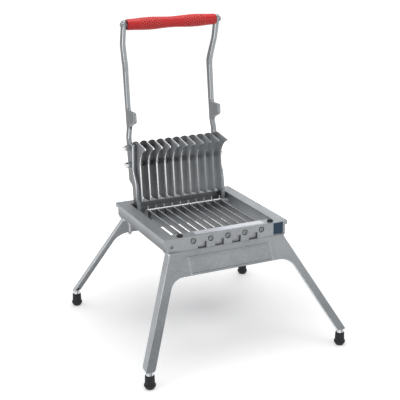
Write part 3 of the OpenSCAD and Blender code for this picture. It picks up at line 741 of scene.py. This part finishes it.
# blades: dark sides with painted shade towards the front, and a painted highlight on the upper edge and on the tab
# behind the rod
bladeLook = {"round": (0.15, 2), "tabRise": 2.5 * mm, "edgeUp": 0.4, "edgeBelow": 5 * mm}
bladeNodes = sorted(n for n in frame["nodes"] if n.startswith("blade_") and n[-2:].isdigit())


def bladeFinish(face, b=bladeLook):
    spot = face.calc_center_median()
    onTab = spot.y > rodHigh.y and spot.z > rodLow.z + b["tabRise"]
    if onTab or (face.normal.z > b["edgeUp"] and spot.z > rodHigh.z - b["edgeBelow"]):
        return "bladeEdge"


for node in bladeNodes:
    dressNode(node, "blade" + node[-2:], ["bladeSteel", "bladeEdge"], [bladeLook["round"]], bladeFinish)
print("blades dressed:", len(bladeNodes))


# rubber feet and bumpers
rubberLook = {
    "round": (0.4, 2),
    "nodes": (
        "foot_front_left", "foot_front_right", "foot_rear_left", "foot_rear_right",
        "bumper_left", "bumper_right"),
}
for node in rubberLook["nodes"]:
    first, *others = node.split("_")
    name = first + "".join(word.capitalize() for word in others)
    dressNode(node, name, ["blackRubber"], [rubberLook["round"]])
print("rubber dressed")


# red grip: a spun skin with two dimpled zones
gripLook = {
    "half": 134.9 * mm, "waist": 15.25 * mm, "swell": 2.5 * mm, "bore": 8.1 * mm, "lip": 1.2 * mm,
    "steps": 150, "station": 2.4 * mm, "fineStation": 0.6 * mm, "weld": 0.005 * mm, "sharp": 60,
    "zoneFrom": 33 * mm, "zoneTo": 100 * mm, "zoneMargin": 2 * mm, "skin": 3 * mm,
    "pitch": 8.2 * mm, "dot": 2.7 * mm, "depth": 1.1 * mm,
}


def gripRadius(x, g):
    return g["waist"] + g["swell"] * math.sin(math.pi * x / g["half"]) ** 2


# half section from the bore over the rounded ends, closer stations in the zones
def gripSection(g):
    stations = [-g["half"]]
    while stations[-1] < g["half"]:
        dotted = g["zoneFrom"] - g["zoneMargin"] < abs(stations[-1]) < g["zoneTo"] + g["zoneMargin"]
        stations.append(min(g["half"], stations[-1] + (g["fineStation"] if dotted else g["station"])))
    section = [(-g["half"], g["bore"])]
    for x in stations:
        inset = max(0.0, g["lip"] - (g["half"] - abs(x)))
        drop = g["lip"] - math.sqrt(max(0.0, g["lip"] ** 2 - inset ** 2))
        section.append((x, gripRadius(x, g) - drop))
    section.append((g["half"], g["bore"]))
    return section


# presses the dots into the zones, every other row half a pitch further round
def pressDots(bm, centre, g):
    around = round(2 * math.pi * (g["waist"] + g["swell"]) / g["pitch"])
    rowStep = g["pitch"] * math.sqrt(3) / 2
    dimpled = set()
    for vert in bm.verts:
        across = Vector((0, vert.co.y - centre.y, vert.co.z - centre.z))
        x = abs(vert.co.x)
        if across.length < g["waist"] - g["skin"] or not g["zoneFrom"] < x < g["zoneTo"]:
            continue
        row = round((x - g["zoneFrom"] - g["pitch"] / 2) / rowStep)
        rowX = g["zoneFrom"] + g["pitch"] / 2 + row * rowStep
        turn = math.atan2(across.y, across.z) / (2 * math.pi) * around - 0.5 * (row % 2)
        away = math.hypot(x - rowX, (turn - round(turn)) * g["pitch"])
        if away < g["dot"]:
            vert.co -= across.normalized() * g["depth"] * math.cos(away / g["dot"] * math.pi / 2)
            dimpled.add(vert)
    return dimpled


def makeGrip(g):
    bm = bmesh.new()
    centre = axisOf("handle_bar")
    points = [bm.verts.new((x, centre.y, centre.z + radius)) for x, radius in gripSection(g)]
    edges = [bm.edges.new(pair) for pair in zip(points, points[1:])]
    edges.append(bm.edges.new((points[-1], points[0])))
    bmesh.ops.spin(
        bm, geom=points + edges, cent=centre, axis=(1, 0, 0), dvec=(0, 0, 0), angle=2 * math.pi,
        steps=g["steps"], use_merge=True, use_duplicate=False)
    bmesh.ops.remove_doubles(bm, verts=bm.verts, dist=g["weld"])
    dimpled = pressDots(bm, centre, g)
    bmesh.ops.recalc_face_normals(bm, faces=bm.faces)
    # painted shade in the dimples, painted light on the land between them
    finishes = ["redVinyl", "vinylDimple", "vinylLand"]
    for face in bm.faces:
        if all(vert in dimpled for vert in face.verts):
            face.material_index = finishes.index("vinylDimple")
        elif g["zoneFrom"] < abs(face.calc_center_median().x) < g["zoneTo"]:
            face.material_index = finishes.index("vinylLand")
    piece = finishPiece(bm, "handleGrip", "lever", finishes, g["sharp"])
    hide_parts("handle_grip")


makeGrip(gripLook)
print("grip made")


# blank labels on the front wall and the front rim: corners in mm from a spot on the tray
labelLook = {
    "frontLabel": {
        "from": (0, trayLow.y, 0), "low": (138.5, -0.25, 305.5), "high": (168.0, 0.0, 338.0),
        "round": 1.5, "thinAxis": 1, "slot": "black_rubber", "finish": "blueLabel",
    },
    "rimStrip": {
        "from": (0, trayLow.y, trayHigh.z), "low": (-90.0, 8.0, 0.0), "high": (114.0, 33.0, 0.25),
        "round": 2.0, "thinAxis": 2, "slot": "cast_aluminium", "finish": "paleStrip",
    },
}


def makeLabel(name, look):
    low, high = (Vector(look[end]) * mm + Vector(look["from"]) for end in ("low", "high"))
    size = high - low
    bm = bmesh.new()
    bmesh.ops.create_cube(bm, size=1.0)
    bmesh.ops.scale(bm, verts=bm.verts, vec=size)
    bmesh.ops.translate(bm, verts=bm.verts, vec=(low + high) / 2)
    corners = [e for e in bm.edges if abs((e.verts[0].co - e.verts[1].co)[look["thinAxis"]]) > min(size) / 2]
    bmesh.ops.bevel(
        bm, geom=corners, offset=look["round"] * mm, offset_type="OFFSET", segments=5, profile=0.5,
        affect="EDGES", clamp_overlap=True, material=-1)
    finishPiece(bm, name, "base", [look["finish"]])


for name, look in labelLook.items():
    makeLabel(name, look)
print("labels made")


# pale floor that keeps the shadow, soft studio light
studio = {
    "floorSize": 40.0, "floorColour": (0.80, 0.80, 0.81), "floorRoughness": 0.9,
    "glowNear": 0.15, "glowFar": 0.80, "farReach": 0.9, "shadowSpot": (0.05, 0.1, 0.0),
    "worldLight": 0.32, "horizon": 1.0, "zenith": 0.30, "horizonRise": 0.12, "zenithRise": 0.7,
    "lamps": {
        "topSoft": {"place": (0.0, 0.15, 2.4), "aim": (0, 0, 0.3), "size": 2.0, "power": 26},
        "frontSoft": {"place": (1.6, -2.4, 1.4), "aim": (0, 0, 0.35), "size": 1.6, "power": 8},
        "leftSoft": {"place": (-2.4, -0.6, 1.4), "aim": (0, 0, 0.3), "size": 1.2, "power": 9},
        "backRight": {"place": (1.8, 2.2, 1.6), "aim": (0, 0, 0.4), "size": 1.4, "power": 8},
    },
}


# rays that show the bright background: camera, glossy and transmission
def lightPathMask(tree, place):
    x, y = place
    path = addNode(tree, "ShaderNodeLightPath", place).outputs
    seen = mathNode(tree, "MAXIMUM", path["Is Camera Ray"], path["Is Glossy Ray"], (x + 200, y))
    return mathNode(tree, "MAXIMUM", seen, path["Is Transmission Ray"], (x + 400, y))


# floor paper: pale, with a glow for those rays alone that grows away from the object, which paints a broad shadow
# round the shadow spot on top of the lamps' real shadow
def makeFloorPaper(s):
    paper = bpy.data.materials.new("floorPaper")
    paper.use_nodes = True
    tree = paper.node_tree
    shader = tree.nodes["Principled BSDF"]
    shader.inputs["Base Color"].default_value = (*s["floorColour"], 1.0)
    shader.inputs["Roughness"].default_value = s["floorRoughness"]
    shader.inputs["Specular IOR Level"].default_value = 0.0
    where = addNode(tree, "ShaderNodeTexCoord", (-1100, -600))
    reach = addNode(tree, "ShaderNodeVectorMath", (-900, -600), operation="DISTANCE")
    tree.links.new(where.outputs["Object"], reach.inputs[0])
    reach.inputs[1].default_value = s["shadowSpot"]
    rise = spread(tree, reach.outputs["Value"], s["glowNear"], s["glowFar"], (-700, -600))
    rise.inputs["From Max"].default_value = s["farReach"]
    glow = addNode(tree, "ShaderNodeEmission", (0, -300), Color=(1, 1, 1, 1))
    mask = lightPathMask(tree, (-700, -300))
    strength = mathNode(tree, "MULTIPLY", mask, rise.outputs["Result"], (-150, -300))
    tree.links.new(strength, glow.inputs["Strength"])
    total = addNode(tree, "ShaderNodeAddShader", (300, 0))
    tree.links.new(shader.outputs[0], total.inputs[0])
    tree.links.new(glow.outputs[0], total.inputs[1])
    tree.links.new(total.outputs[0], tree.nodes["Material Output"].inputs["Surface"])
    return paper


def makeFloor(s):
    bm = bmesh.new()
    bmesh.ops.create_grid(bm, x_segments=1, y_segments=1, size=s["floorSize"] / 2)
    mesh = bpy.data.meshes.new("studioFloor")
    bm.to_mesh(mesh)
    bm.free()
    mesh.materials.append(makeFloorPaper(s))
    floor = bpy.data.objects.new("studioFloor", mesh)
    scene.collection.objects.link(floor)


# even light for the object, a bright horizon for the rays that show the background
def makeWorld(s):
    world = bpy.data.worlds.new("studioWorld")
    scene.world = world
    world.use_nodes = True
    tree = world.node_tree
    back = tree.nodes["Background"]
    back.inputs["Color"].default_value = (1, 1, 1, 1)
    way = addNode(tree, "ShaderNodeTexCoord", (-1100, -400))
    split = addNode(tree, "ShaderNodeSeparateXYZ", (-900, -400))
    tree.links.new(way.outputs["Generated"], split.inputs[0])
    dome = spread(tree, split.outputs["Z"], s["horizon"], s["zenith"], (-600, -400))
    dome.inputs["From Min"].default_value = s["horizonRise"]
    dome.inputs["From Max"].default_value = s["zenithRise"]
    mask = lightPathMask(tree, (-900, 0))
    level = spread(tree, mask, s["worldLight"], dome.outputs["Result"], (-200, 0))
    tree.links.new(level.outputs["Result"], back.inputs["Strength"])


def makeLamp(name, lamp):
    data = bpy.data.lights.new(name, "AREA")
    data.shape = "DISK"
    data.size = lamp["size"]
    data.energy = lamp["power"]
    made = bpy.data.objects.new(name, data)
    scene.collection.objects.link(made)
    made.location = lamp["place"]
    aim = Vector(lamp["aim"]) - Vector(lamp["place"])
    made.rotation_euler = aim.to_track_quat("-Z", "Y").to_euler()


makeFloor(studio)
makeWorld(studio)
for name, lamp in studio["lamps"].items():
    makeLamp(name, lamp)
print("studio lit")
